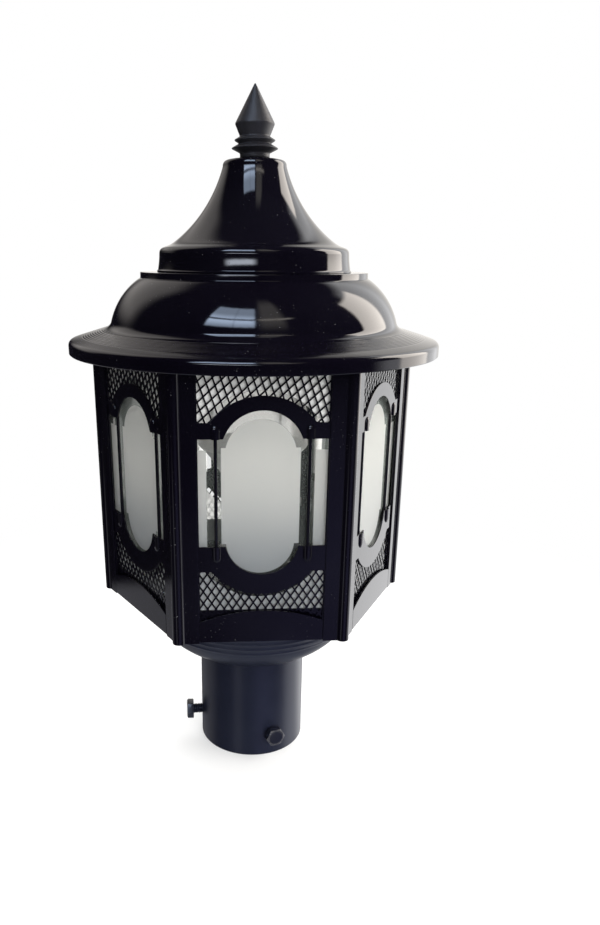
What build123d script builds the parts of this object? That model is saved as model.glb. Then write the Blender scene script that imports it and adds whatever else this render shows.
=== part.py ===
from build123d import *
import math
import os

# Gate light on a pipe collar. Millimetres, +Z up, origin at the centre of the collar's foot.
# The front side faces -Y, and sides and posts follow counterclockwise seen from above.

# Collar and clamp bolts
collar_dia = 61.0
collar_wall = 3.0
collar_height = 60.9
bolt_height = 14.0
bolt_angles = {"front": 289.0, "back": 56.0, "left": 182.0}
bolt_dia = 6.0
bolt_lengths = {"front": 5.0, "back": 8.0, "left": 8.0}
bolt_head_across = 10.0
bolt_head_height = 4.0
bolt_tip_recess = 0.3
thread_clearance = 0.05

# Bowl
bowl_radius = 60.0
bowl_depth = 40.43
bowl_wall = 1.2
bowl_lip = 0.5
bowl_hole_dia = 44.0
bowl_flange = 7.0
rivet_count = 6
rivet_dia = 4.0
rivet_head_dia = 7.0
rivet_head_height = 1.2
rivet_clearance = 0.05

# Six-sided body, measured from the axis to the outer face of a side panel
side_count = 6
body_apothem = 71.4
sheet = 0.8
rail_height = 9.0
lower_grille_height = 27.2
lower_arm_height = 12.9
light_height = 52.1
upper_arm_height = 7.6
upper_grille_height = 22.7
top_rail_height = 7.0
panel_edge_gap = 1.8
opening_half = 30.0

# Arched bands of a side panel
upper_arch_half = 18.2
upper_arch_rise = 13.1
upper_band = 6.7
upper_band_half = 24.5
lower_arch_half = 17.2
lower_arch_rise = 14.4
lower_band = 10.4
lower_band_half = 24.2

# Tray flaps over the foot of each side
flap_rise = 5.8
flap_side_height = 10.8
flap_gap = 0.2

# Tray sills behind the foot of each grille
sill_height = 15.3
sill_gap = 0.2
sill_half = 31.5

# Corner posts
post_sheet = 0.8
post_wing_edge = 30.6
nose_radius = 3.3
nose_stand = 1.2
post_foot = 0.8
post_rise = 1.34

# Expanded mesh grilles
mesh_thickness = 0.6
mesh_pitch_wide = 4.05
mesh_pitch_high = 6.2
mesh_strand = 0.75
mesh_lap = 2.4
mesh_border = 1.0
upper_mesh_turn = -14.0
least_gap_area = 1.2

# Bars, panes and clips
bar_dia = 1.7
bar_place = 21.8
bar_tuck = 4.6
pane_thickness = 2.5
pane_half = 33.5
pane_head_gap = 3.0
pane_gap = 0.1
clip_sheet = 0.6
clip_width = 6.0
clip_foot = 3.2
clip_lip = 3.0
clip_edge_gap = 0.2
clip_inset = 26.0

# Head of the body
ring_sheet = 1.2
ring_hole_dia = 116.0
yoke_strip = 12.0
yoke_sheet = 2.0
yoke_knee = 62.0
yoke_foot = 14.0
yoke_rise = 51.0
yoke_crown_half = 13.0
yoke_screw_dia = 4.0
yoke_screw_head_dia = 7.6
yoke_screw_head_height = 2.6
yoke_nut_across = 7.0
yoke_nut_height = 3.2
yoke_screw_spare = 1.5
stud_dia = 6.0
stud_nut_across = 10.0
stud_nut_height = 5.0
stud_grip = 14.0

# Roof
brim_dia = 190.5
roof_wall = 1.0
brim_slope = 17.2
rim_height = 6.2
rim_round = 2.0
shoulder_radius = 74.0
shoulder_fillet = 7.0
dome_height = 26.6
dome_radius = 36.0
ledge_radius = 57.0
ledge_band_height = 3.0
ledge_band_run = 1.4
upstand_height = 7.0
bell_skirt_radius = 49.0
bell_skirt_height = 11.0
bell_skirt_taper = 1.3
bell_step_height = 2.2
bell_step_width = 7.0
bell_flare_radius = 67.0
bell_height = 52.2
bell_top_radius = 15.8
bell_top_round = 3.0
skirt_clearance = 0.1
seat_clearance = 0.3
stud_hole_clearance = 0.5

# Finial
washer_sheet = 0.8
washer_dia = 13.0
neck_radius = 7.3
neck_height = 2.2
lower_disc_radius = 11.6
lower_disc_height = 4.2
upper_disc_radius = 10.2
upper_disc_height = 3.2
waist_radius = 7.8
cup_height = 5.6
spear_radius = 9.7
spear_height = 17.5
spear_tip = 0.8
finial_gap = 0.1
finial_hole_spare = 2.0

# Lamp holder
holder_base_radius = 20.0
holder_base_height = 15.5
holder_core_height = 7.0
shell_bore = 22.6
shell_wall = 0.8
shell_height = 25.0
shell_flange_radius = 15.5
clamp_ring_radius = 19.0
clamp_ring_height = 6.0
holder_clearance = 0.05
core_clearance = 0.1
nipple_dia = 10.0
nipple_bore = 6.0
nipple_above = 8.5
nipple_below = 8.0
lock_nut_across = 14.0
lock_nut_height = 4.0
bush_radius = 6.5
bush_bore = 5.0
bush_height = 4.0
bush_lip = 1.5
plunger_dia = 4.0
plunger_place = 4.8
plunger_length = 9.0
plunger_out = 2.5
plunger_travel = 2.5

# Bulb
cap_dia = 22.0
cap_length = 24.4
cap_gap = 0.1
pin_dia = 2.2
pin_reach = 2.4
pin_height = 6.8
slot_clearance = 0.3
slot_turn = 22.0
housing_foot_radius = 12.5
housing_height = 33.0
housing_flare = 60.0
globe_radius = 30.0
globe_straight = 11.0

# Places worked out from the sizes
half_angle = 180.0 / side_count
step_angle = 360.0 / side_count
half_tan = math.tan(math.radians(half_angle))
half_cos = math.cos(math.radians(half_angle))
sides = ("front", "front_right", "back_right", "back", "back_left", "front_left")
corners = ("front_right", "right", "back_right", "back_left", "left", "front_left")
front_azimuth = 270.0

collar_radius = collar_dia / 2
bore_radius = collar_radius - collar_wall
bowl_foot_radius = collar_radius + bowl_lip
bowl_foot_turn = math.degrees(math.acos(bowl_foot_radius / bowl_radius))
bowl_centre = collar_height + bowl_depth * math.sin(math.radians(bowl_foot_turn))
tray_z = bowl_centre + bowl_wall
flange_radius = bowl_radius + bowl_flange
rivet_circle = bowl_radius + bowl_flange / 2
floor_z = tray_z + sheet

lower_grille_z = floor_z + rail_height
lower_arm_z = lower_grille_z + lower_grille_height
light_z = lower_arm_z + lower_arm_height
upper_arm_z = light_z + light_height
upper_grille_z = upper_arm_z + upper_arm_height
upper_grille_top = upper_grille_z + upper_grille_height
panel_top = upper_grille_top + top_rail_height
ring_top = panel_top + ring_sheet
post_top = ring_top + post_rise

panel_inner = body_apothem - sheet
panel_half = body_apothem * half_tan - panel_edge_gap
wing_outer = body_apothem + post_sheet
post_corner = body_apothem / half_cos
nose_tip = wing_outer / half_cos + nose_stand
nose_centre = nose_tip - nose_radius

bar_axis = panel_inner - bar_dia / 2
pane_outer = panel_inner - bar_dia - pane_gap
pane_inner = pane_outer - pane_thickness
pane_top = panel_top - pane_head_gap

slope_rise = math.tan(math.radians(brim_slope))
roof_lift = roof_wall / math.cos(math.radians(brim_slope))
seat_z = post_top + seat_clearance
rim_radius = brim_dia / 2


def brim_top(radius):
    return seat_z + roof_lift + (nose_tip - radius) * slope_rise


rim_top = brim_top(rim_radius)
rim_z = rim_top - rim_height
shoulder_z = brim_top(shoulder_radius)
ledge_z = shoulder_z + dome_height
roof_top = ledge_z + bell_height
skirt_inner = bell_skirt_radius - roof_wall
upstand_radius = skirt_inner - bell_skirt_taper - skirt_clearance
finial_z = roof_top + washer_sheet + finial_gap

yoke_z = ring_top
crown_z = yoke_z + yoke_rise
stud_foot = crown_z - stud_nut_height
stud_top = finial_z + stud_grip
yoke_screw_place = yoke_knee + yoke_foot / 2

core_z = floor_z + holder_base_height
core_top = core_z + holder_core_height
plunger_top = core_top + plunger_out
cap_z = plunger_top + cap_gap
housing_z = cap_z + cap_length
globe_z = housing_z + housing_height

os.makedirs("parts", exist_ok=True)


def save(shape, node):
    export_step(shape, "parts/" + node + ".step")


def tube(outer, inner, z_low, z_high):
    ring = Circle(outer) - Circle(inner)
    return extrude(Pos(0, 0, z_low) * ring, z_high - z_low)


def hexagon(apothem):
    return RegularPolygon(apothem / half_cos, side_count)


def nut(across, height, hole, z_low):
    outline = RegularPolygon(across / math.sqrt(3), 6) - Circle(hole)
    return extrude(Pos(0, 0, z_low) * outline, height)


def on_side(depth, outline, thickness):
    return extrude(Plane.XZ.offset(depth) * outline, thickness)


def to_side(shape, index):
    return Rot(0, 0, step_angle * index) * shape


def spun(lines):
    return revolve(make_face(Plane.XZ * lines), Axis.Z)


def arc_centre(start, end, radius):
    chord = (end[0] - start[0], end[1] - start[1])
    length = math.hypot(*chord)
    reach = math.sqrt(abs(radius) ** 2 - length ** 2 / 4) / length
    if radius < 0:
        reach = -reach
    middle = ((start[0] + end[0]) / 2, (start[1] + end[1]) / 2)
    return (middle[0] - chord[1] * reach, middle[1] + chord[0] * reach)


def from_centre(centre, point, extra):
    length = math.dist(centre, point)
    share = (length + extra) / length
    return (centre[0] + (point[0] - centre[0]) * share, centre[1] + (point[1] - centre[1]) * share)


def arc_about(centre, start, end):
    middle = ((start[0] + end[0]) / 2, (start[1] + end[1]) / 2)
    extra = math.dist(centre, start) - math.dist(centre, middle)
    return ThreePointArc(start, from_centre(centre, middle, extra), end)


# Collar and its bolts
def make_collar():
    collar = tube(collar_radius, bore_radius, 0, collar_height)
    hole_length = 2 * collar_wall
    hole = Cylinder(bolt_dia / 2 + thread_clearance, hole_length, rotation=(0, 90, 0))
    for angle in bolt_angles.values():
        collar -= Rot(0, 0, angle) * Pos(bore_radius + collar_wall / 2, 0, bolt_height) * hole
    return collar


def make_bolt(angle, length):
    tip = bore_radius + bolt_tip_recess
    along = Plane.YZ.offset(tip) * Pos(0, bolt_height)
    shank = extrude(along * Circle(bolt_dia / 2), length)
    seat = Plane.YZ.offset(tip + length) * Pos(0, bolt_height)
    head = extrude(seat * RegularPolygon(bolt_head_across / math.sqrt(3), 6), bolt_head_height)
    return Rot(0, 0, angle) * (shank + head)


# Bowl, its rivets and the tray
def make_bowl():
    inner_radius = bowl_radius - bowl_wall
    inner_depth = bowl_depth - bowl_wall
    inner_foot_z = collar_height + bowl_wall
    inner_turn = math.degrees(math.asin((bowl_centre - inner_foot_z) / inner_depth))
    centre = (0, bowl_centre)
    hole = bowl_hole_dia / 2
    outside = EllipticalCenterArc(centre, bowl_radius, bowl_depth, -bowl_foot_turn, arc_size=bowl_foot_turn)
    inside = EllipticalCenterArc(centre, inner_radius, inner_depth, -inner_turn, arc_size=inner_turn)
    rim = Polyline(
        outside @ 1,
        (flange_radius, bowl_centre),
        (flange_radius, tray_z),
        (inner_radius, tray_z),
        inside @ 1,
    )
    foot = Polyline(
        inside @ 0,
        (hole, inner_foot_z),
        (hole, collar_height),
        outside @ 0,
    )
    return spun(outside + rim + inside + foot) - rivet_holes()


def rivet_holes():
    hole = Cylinder(rivet_dia / 2 + rivet_clearance, 4 * (bowl_wall + sheet))
    return [place * hole for place in rivet_places()]


def rivet_places():
    turn = PolarLocations(rivet_circle, rivet_count)
    return [Pos(0, 0, tray_z) * place for place in turn]


def make_rivets():
    under = tray_z - bowl_wall
    shank = extrude(Pos(0, 0, under) * Circle(rivet_dia / 2), bowl_wall + sheet)
    low_head = extrude(Pos(0, 0, under - rivet_head_height) * Circle(rivet_head_dia / 2), rivet_head_height)
    top_head = extrude(Pos(0, 0, floor_z) * Circle(rivet_head_dia / 2), rivet_head_height)
    rivet = Pos(0, 0, -tray_z) * (shank + low_head + top_head)
    return Compound([place * rivet for place in rivet_places()])


def make_tray():
    floor = extrude(Pos(0, 0, tray_z) * hexagon(body_apothem), sheet)
    half = post_wing_edge - flap_gap
    side_z = tray_z + flap_side_height
    edges = Polyline((half, side_z), (half, tray_z), (-half, tray_z), (-half, side_z))
    arch = ThreePointArc((-half, side_z), (0, side_z + flap_rise), (half, side_z))
    flap = on_side(body_apothem, make_face(edges + arch), sheet)
    sill_outline = Pos(0, tray_z + (sheet + sill_height) / 2) * Rectangle(2 * sill_half, sheet + sill_height)
    sill = on_side(pane_outer + sill_gap, sill_outline, sheet)
    tray = floor + [to_side(wall, index) for index in range(side_count) for wall in (flap, sill)]
    nipple_hole = Pos(0, 0, tray_z) * Cylinder(nipple_dia / 2 + holder_clearance, 4 * sheet)
    return tray - nipple_hole - rivet_holes()


# Sides: panel, grille, bars, pane and clips are made at the front and turned to the other sides
def segment(half, base_z, rise):
    chord = Line((-half, base_z), (half, base_z))
    arch = ThreePointArc((half, base_z), (0, base_z + rise), (-half, base_z))
    return make_face(chord + arch)


def window(z_low, z_high):
    return Pos(0, (z_low + z_high) / 2) * Rectangle(2 * opening_half, z_high - z_low)


def make_panel():
    sheet_outline = Pos(0, (floor_z + panel_top) / 2) * Rectangle(2 * panel_half, panel_top - floor_z)
    light = window(light_z, upper_arm_z)
    light += segment(upper_arch_half, upper_arm_z, upper_arch_rise)
    light += segment(lower_arch_half, light_z, -lower_arch_rise)
    return on_side(panel_inner, sheet_outline - light - upper_opening() - lower_opening(), sheet)


def upper_band_rise():
    return upper_arch_rise + upper_band - upper_arm_height


def lower_band_rise():
    return lower_arch_rise + lower_band - lower_arm_height


def upper_opening():
    band = segment(upper_band_half, upper_grille_z, upper_band_rise())
    return window(upper_grille_z, upper_grille_top) - band


def lower_opening():
    band = segment(lower_band_half, lower_arm_z, -lower_band_rise())
    return window(lower_grille_z, lower_arm_z) - band


def band_disc(half, base_z, rise, shrink):
    radius = (half ** 2 + rise ** 2) / (2 * abs(rise))
    centre_z = base_z + rise - math.copysign(radius, rise)
    return Pos(0, centre_z) * Circle(radius - shrink)


def mesh_area(z_low, z_high, disc_sizes, lap):
    height = z_high - z_low + 2 * lap
    area = Pos(0, (z_low + z_high) / 2) * Rectangle(2 * (opening_half + lap), height)
    return area - band_disc(*disc_sizes, lap)


def mesh_gaps(middle_z, turn):
    slope_length = math.hypot(mesh_pitch_wide, mesh_pitch_high)
    wide = mesh_pitch_wide - mesh_strand * slope_length / mesh_pitch_high
    high = mesh_pitch_high - mesh_strand * slope_length / mesh_pitch_wide
    diamond = Polygon((wide / 2, 0), (0, high / 2), (-wide / 2, 0), (0, -high / 2))
    reach = opening_half * 1.5
    rows = math.ceil(reach / mesh_pitch_high)
    columns = math.ceil(reach / mesh_pitch_wide)
    places = []
    for row in range(-2 * rows, 2 * rows + 1):
        stagger = mesh_pitch_wide / 2 * (row % 2)
        for column in range(-columns, columns + 1):
            places.append((column * mesh_pitch_wide + stagger, row * mesh_pitch_high / 2))
    frame = Pos(0, middle_z) * Rot(0, 0, turn)
    return [frame * Pos(*place) * diamond for place in places]


def make_mesh(z_low, z_high, disc_sizes, turn):
    outline = mesh_area(z_low, z_high, disc_sizes, mesh_lap).face()
    clear = mesh_area(z_low, z_high, disc_sizes, mesh_lap - mesh_border)
    clear_face = clear.face()
    reach = opening_half + mesh_lap
    low, high = z_low - mesh_lap, z_high + mesh_lap
    gaps = []
    for diamond in mesh_gaps((z_low + z_high) / 2, turn):
        centre = diamond.center()
        if abs(centre.X) > reach or centre.Y < low or centre.Y > high:
            continue
        inside = [clear_face.is_inside(corner.center()) for corner in diamond.vertices()]
        pieces = diamond.faces() if all(inside) else (diamond & clear).faces()
        gaps += [piece.outer_wire() for piece in pieces if piece.area > least_gap_area]
    return on_side(panel_inner - mesh_thickness, outline.make_holes(gaps), mesh_thickness)


def make_grille():
    upper_disc = (upper_band_half, upper_grille_z, upper_band_rise())
    lower_disc = (lower_band_half, lower_arm_z, -lower_band_rise())
    upper = make_mesh(upper_grille_z, upper_grille_top, upper_disc, upper_mesh_turn)
    lower = make_mesh(lower_grille_z, lower_arm_z, lower_disc, 0.0)
    return Compound([upper.solid(), lower.solid()])


def make_bars():
    low = light_z - bar_tuck
    high = upper_arm_z + bar_tuck
    bar = Cylinder(bar_dia / 2, high - low)
    return Compound([Pos(x, -bar_axis, (low + high) / 2) * bar for x in (-bar_place, bar_place)])


def make_pane():
    height = pane_top - floor_z
    place = Pos(0, -(pane_outer + pane_inner) / 2, floor_z + height / 2)
    return place * Box(2 * pane_half, pane_thickness, height)


def make_clips():
    edge = pane_half + clip_edge_gap
    lip_end = edge + clip_sheet - clip_lip
    outline = Polygon(
        (edge, -panel_inner),
        (edge + clip_foot, -panel_inner),
        (edge + clip_foot, -panel_inner + clip_sheet),
        (edge + clip_sheet, -panel_inner + clip_sheet),
        (edge + clip_sheet, -pane_inner + clip_sheet),
        (lip_end, -pane_inner + clip_sheet),
        (lip_end, -pane_inner),
        (edge, -pane_inner),
        align=None,
    )
    clips = []
    for z in (floor_z + clip_inset, pane_top - clip_inset):
        clip = extrude(Pos(0, 0, z - clip_width / 2) * outline, clip_width)
        clips += [clip, mirror(clip, Plane.YZ)]
    return Compound([to_side(clip, index) for index in range(side_count) for clip in clips])


# Corner posts
def make_post():
    corner_edge = wing_outer * half_tan
    wing = Pos(body_apothem + post_sheet / 2, (post_wing_edge + corner_edge) / 2)
    wing *= Rectangle(post_sheet, corner_edge - post_wing_edge)
    wings = Rot(0, 0, -half_angle) * wing
    wings += mirror(wings, Plane.XZ)
    wedge_reach = 4 * nose_radius
    away = math.radians(90 + half_angle)
    side_x = post_corner + wedge_reach * math.cos(away)
    side_y = wedge_reach * math.sin(away)
    wedge = Polygon(
        (post_corner, 0),
        (side_x, side_y),
        (post_corner - 2 * wedge_reach, 0),
        (side_x, -side_y),
        align=None,
    )
    nose = Pos(nose_centre, 0) * Circle(nose_radius) - wedge
    foot_z = tray_z - post_foot
    return extrude(Pos(0, 0, foot_z) * (wings + nose), post_top - foot_z)


# Head: top ring, yoke, stud and their fasteners
def yoke_places():
    return [Pos(x, 0, 0) for x in (-yoke_screw_place, yoke_screw_place)]


def make_ring():
    ring = Pos(0, 0, panel_top) * (hexagon(body_apothem) - Circle(ring_hole_dia / 2))
    hole = Cylinder(yoke_screw_dia / 2 + thread_clearance, 4 * ring_sheet)
    return extrude(ring, ring_sheet) - [Pos(0, 0, panel_top) * place * hole for place in yoke_places()]


def make_yoke():
    leg_angle = math.atan2(yoke_rise, yoke_knee - yoke_crown_half)
    shift = yoke_sheet * math.tan(leg_angle / 2)
    foot_end = yoke_knee + yoke_foot
    under = [(foot_end, yoke_z), (yoke_knee, yoke_z), (yoke_crown_half, crown_z)]
    top_z = yoke_z + yoke_sheet
    over = [(foot_end, top_z), (yoke_knee + shift, top_z), (yoke_crown_half + shift, crown_z + yoke_sheet)]
    right = under[::-1] + over
    left = [(-x, z) for x, z in right]
    outline = Polygon(*right, *left[::-1], align=None)
    yoke = extrude(Plane.XZ * outline, yoke_strip / 2, both=True)
    screw_hole = Cylinder(yoke_screw_dia / 2 + thread_clearance, 4 * yoke_sheet)
    stud_hole = Cylinder(stud_dia / 2 + thread_clearance, 4 * yoke_sheet)
    yoke -= [Pos(0, 0, yoke_z) * place * screw_hole for place in yoke_places()]
    return yoke - Pos(0, 0, crown_z) * stud_hole


def make_yoke_screws():
    head_z = yoke_z + yoke_sheet
    foot_z = panel_top - yoke_nut_height - yoke_screw_spare
    shank = extrude(Pos(0, 0, foot_z) * Circle(yoke_screw_dia / 2), head_z - foot_z)
    head = extrude(Pos(0, 0, head_z) * Circle(yoke_screw_head_dia / 2), yoke_screw_head_height)
    return Compound([place * (shank + head) for place in yoke_places()])


def make_yoke_nuts():
    hole = yoke_screw_dia / 2 + thread_clearance
    piece = nut(yoke_nut_across, yoke_nut_height, hole, panel_top - yoke_nut_height)
    return Compound([place * piece for place in yoke_places()])


def make_stud():
    return extrude(Pos(0, 0, stud_foot) * Circle(stud_dia / 2), stud_top - stud_foot)


def make_stud_nuts():
    hole = stud_dia / 2 + thread_clearance
    low = nut(stud_nut_across, stud_nut_height, hole, stud_foot)
    high = nut(stud_nut_across, stud_nut_height, hole, crown_z + yoke_sheet)
    return Compound([low, high])


# Roof
def make_brim():
    inner_rim = rim_radius - roof_wall
    inner_shoulder = shoulder_radius - roof_wall
    shoulder = (shoulder_radius, shoulder_z)
    dome_top = (ledge_radius + ledge_band_run, ledge_z - ledge_band_height)
    centre = arc_centre(shoulder, dome_top, dome_radius)
    inner_top = from_centre(centre, dome_top, -roof_wall)
    inner_start = (inner_shoulder, brim_top(inner_shoulder) - roof_lift)
    inner_centre = arc_centre(inner_start, inner_top, dome_radius - roof_wall)
    upstand_inner = upstand_radius - roof_wall
    upstand_top = ledge_z + upstand_height
    round_start = (rim_radius, rim_top - rim_round)
    round_end_r = rim_radius - rim_round
    rim_arc = TangentArc(round_start, (round_end_r, brim_top(round_end_r)), tangent=(0, 1))
    dome = arc_about(centre, shoulder, dome_top)
    neck = Polyline(
        dome_top,
        (ledge_radius, ledge_z),
        (upstand_radius, ledge_z),
        (upstand_radius, upstand_top),
        (upstand_inner, upstand_top),
        (upstand_inner, ledge_z - roof_wall),
        (ledge_radius - roof_wall, ledge_z - roof_wall),
        inner_top,
    )
    inside = arc_about(inner_centre, inner_top, inner_start)
    rim = Polyline(
        inner_start,
        (inner_rim, brim_top(inner_rim) - roof_lift),
        (inner_rim, rim_z),
        (rim_radius, rim_z),
        round_start,
    )
    slope = Line((round_end_r, brim_top(round_end_r)), shoulder)
    profile = make_face(rim_arc + slope + dome + neck + inside + rim)
    for corner, radius in ((shoulder, shoulder_fillet), (inner_start, shoulder_fillet + roof_wall)):
        nearest = profile.vertices().sort_by_distance((*corner, 0))[0]
        profile = fillet(nearest, radius)
    return revolve(Plane.XZ * profile, Axis.Z)


def make_bell():
    step_z = ledge_z + bell_skirt_height
    skirt_top = bell_skirt_radius - bell_skirt_taper
    flare_start = (bell_skirt_radius - bell_step_width, step_z + bell_step_height)
    flare_end = (bell_top_radius, roof_top - bell_top_round)
    centre = arc_centre(flare_start, flare_end, -bell_flare_radius)
    inner_start = from_centre(centre, flare_start, roof_wall)
    inner_end = from_centre(centre, flare_end, roof_wall)
    hole = stud_dia / 2 + stud_hole_clearance
    top_radius = bell_top_radius - bell_top_round
    skirt = Polyline(
        inner_start,
        (skirt_top - roof_wall, step_z - roof_wall),
        (skirt_inner, ledge_z),
        (bell_skirt_radius, ledge_z),
        (skirt_top, step_z),
        flare_start,
    )
    flare = arc_about(centre, flare_start, flare_end)
    round_top = TangentArc(flare_end, (top_radius, roof_top), tangent=(0, 1))
    head = Polyline(
        (top_radius, roof_top),
        (hole, roof_top),
        (hole, roof_top - roof_wall),
        (inner_end[0] - bell_top_round, roof_top - roof_wall),
        inner_end,
    )
    inside = arc_about(centre, inner_end, inner_start)
    return spun(skirt + flare + round_top + head + inside)


# Finial
def make_washer():
    return tube(washer_dia / 2, stud_dia / 2 + stud_hole_clearance, roof_top, roof_top + washer_sheet)


def make_finial():
    lower_z = finial_z + neck_height
    upper_z = lower_z + lower_disc_height
    cup_z = upper_z + upper_disc_height
    spear_z = cup_z + cup_height
    tip_z = spear_z + spear_height
    tip_centre = tip_z - spear_tip
    spear_angle = math.atan2(spear_radius, spear_height)
    tip_edge = (spear_tip * math.cos(spear_angle), tip_centre + spear_tip * math.sin(spear_angle))
    outline = Polyline(
        (0, finial_z),
        (neck_radius, finial_z),
        (neck_radius, lower_z),
        (lower_disc_radius, lower_z + lower_disc_height / 2),
        (waist_radius, upper_z),
        (upper_disc_radius, upper_z + upper_disc_height / 2),
        (neck_radius, cup_z),
        (spear_radius, spear_z),
        tip_edge,
    )
    tip = arc_about((0, tip_centre), tip_edge, (0, tip_z))
    axis = Line((0, tip_z), (0, finial_z))
    hole_length = stud_grip + finial_hole_spare
    hole = extrude(Pos(0, 0, finial_z) * Circle(stud_dia / 2 + thread_clearance), hole_length)
    return spun(outline + tip + axis) - hole


# Lamp holder
def make_holder_base():
    flange = extrude(Pos(0, 0, floor_z) * Circle(holder_base_radius), holder_base_height)
    core_radius = shell_bore / 2 - core_clearance
    core = extrude(Pos(0, 0, core_z) * Circle(core_radius), holder_core_height)
    base = flange + core
    nipple_hole = extrude(Pos(0, 0, floor_z) * Circle(nipple_dia / 2 + holder_clearance), nipple_above)
    wire_hole = extrude(Pos(0, 0, floor_z) * Circle(bush_bore / 2), core_top - floor_z)
    well_z = plunger_top - plunger_length - plunger_travel
    well = extrude(Pos(0, 0, well_z) * Circle(plunger_dia / 2 + thread_clearance), core_top - well_z)
    wells = [Pos(0, y, 0) * well for y in (-plunger_place, plunger_place)]
    return base - nipple_hole - wire_hole - wells


def make_plungers():
    pin = extrude(Pos(0, 0, plunger_top - plunger_length) * Circle(plunger_dia / 2), plunger_length)
    return Compound([Pos(0, y, 0) * pin for y in (-plunger_place, plunger_place)])


def pin_z():
    return cap_z + pin_height


def make_holder_shell():
    inner = shell_bore / 2
    outer = inner + shell_wall
    shell_top = core_z + shell_height
    shell = tube(outer, inner, core_z, shell_top)
    shell += tube(shell_flange_radius, inner, core_z, core_z + shell_wall)
    slot = pin_dia + 2 * slot_clearance
    slot_z = pin_z() - slot / 2
    entry_height = shell_top - slot_z
    entry = Pos(inner, 0, slot_z + entry_height / 2) * Box(4 * shell_wall, slot, entry_height)
    cuts = []
    for start in (0, 180):
        cuts.append(Rot(0, 0, start + slot_turn) * entry)
        sector = Plane.XY.offset(slot_z) * Rot(0, 0, start) * slot_sector(inner, outer, slot)
        cuts.append(extrude(sector, slot))
    return shell - cuts


def slot_sector(inner, outer, slot):
    lead = math.degrees(slot / 2 / inner)
    reach = outer + shell_wall
    corner_turns = (-lead, slot_turn / 2, slot_turn)
    points = [(0, 0)]
    for turn in corner_turns:
        points.append((2 * reach * math.cos(math.radians(turn)), 2 * reach * math.sin(math.radians(turn))))
    wedge = Polygon(*points, align=None)
    return wedge & (Circle(reach) - Circle(inner - shell_wall))


def make_clamp_ring():
    foot_z = core_z + shell_wall
    inner = shell_bore / 2 + shell_wall + holder_clearance
    return tube(clamp_ring_radius, inner, foot_z, foot_z + clamp_ring_height)


def make_nipple():
    return tube(nipple_dia / 2, nipple_bore / 2, tray_z - nipple_below, floor_z + nipple_above)


def make_lock_nut():
    return nut(lock_nut_across, lock_nut_height, nipple_dia / 2 + thread_clearance, tray_z - lock_nut_height)


def make_bush():
    foot_z = tray_z - nipple_below
    cup = tube(bush_radius, nipple_dia / 2 + holder_clearance, foot_z, foot_z + bush_height - bush_lip)
    return cup + tube(bush_radius, bush_bore / 2, foot_z - bush_lip, foot_z)


# Bulb
def make_cap():
    body = extrude(Pos(0, 0, cap_z) * Circle(cap_dia / 2), cap_length)
    pin_length = cap_dia + 2 * pin_reach
    pin = Pos(0, 0, pin_z()) * Cylinder(pin_dia / 2, pin_length, rotation=(0, 90, 0))
    return body + pin


def make_housing():
    foot = (housing_foot_radius, housing_z)
    head = (globe_radius, globe_z)
    flare = arc_about(arc_centre(foot, head, -housing_flare), foot, head)
    rest = Polyline(head, (0, globe_z), (0, housing_z), foot)
    return spun(flare + rest)


def make_globe():
    foot = (globe_radius, globe_z)
    dome_z = globe_z + globe_straight
    top = (0, dome_z + globe_radius)
    dome = arc_about((0, dome_z), (globe_radius, dome_z), top)
    return spun(dome + Polyline(top, (0, globe_z), foot, (globe_radius, dome_z)))


save(make_collar(), "collar")
for name, angle in bolt_angles.items():
    save(make_bolt(angle, bolt_lengths[name]), "clamp_bolt_" + name)
save(make_bowl(), "bowl")
save(make_rivets(), "bowl_rivets")
save(make_tray(), "base_tray")

side_pieces = {
    "side_panel": make_panel(),
    "grille": make_grille(),
    "bars": make_bars(),
    "pane": make_pane(),
}
for piece, shape in side_pieces.items():
    for index, side in enumerate(sides):
        save(to_side(shape, index), piece + "_" + side)
save(make_clips(), "pane_clips")

post = make_post()
for index, corner in enumerate(corners):
    save(Rot(0, 0, front_azimuth + half_angle + step_angle * index) * post, "corner_post_" + corner)

save(make_ring(), "top_ring")
save(make_yoke(), "roof_yoke")
save(make_yoke_screws(), "yoke_screws")
save(make_yoke_nuts(), "yoke_nuts")
save(make_stud(), "roof_stud")
save(make_stud_nuts(), "stud_nuts")
save(make_brim(), "roof_brim")
save(make_bell(), "roof_bell")
save(make_washer(), "finial_washer")
save(make_finial(), "finial")
save(make_holder_base(), "holder_base")
save(make_holder_shell(), "holder_shell")
save(make_clamp_ring(), "holder_clamp_ring")
save(make_plungers(), "contact_plungers")
save(make_nipple(), "holder_nipple")
save(make_lock_nut(), "nipple_lock_nut")
save(make_bush(), "cable_bush")
save(make_cap(), "bulb_cap")
save(make_housing(), "bulb_housing")
save(make_globe(), "bulb_globe")
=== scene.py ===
import bpy
import math
from mathutils import Matrix, Vector


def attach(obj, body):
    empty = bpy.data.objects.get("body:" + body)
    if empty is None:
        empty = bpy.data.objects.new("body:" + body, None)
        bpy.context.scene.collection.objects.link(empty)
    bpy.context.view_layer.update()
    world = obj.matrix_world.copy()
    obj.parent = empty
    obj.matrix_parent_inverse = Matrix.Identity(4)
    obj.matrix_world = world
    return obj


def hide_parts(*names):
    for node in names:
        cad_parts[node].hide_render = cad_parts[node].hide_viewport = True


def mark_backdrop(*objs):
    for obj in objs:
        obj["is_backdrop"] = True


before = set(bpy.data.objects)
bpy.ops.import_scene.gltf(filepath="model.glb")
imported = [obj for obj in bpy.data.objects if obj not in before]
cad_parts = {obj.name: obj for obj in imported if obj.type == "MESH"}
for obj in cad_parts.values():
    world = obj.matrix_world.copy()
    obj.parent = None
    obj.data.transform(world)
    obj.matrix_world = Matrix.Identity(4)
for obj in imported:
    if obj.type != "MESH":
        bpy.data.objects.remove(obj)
scene = bpy.context.scene
scene.view_settings.view_transform = "Standard"
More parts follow.
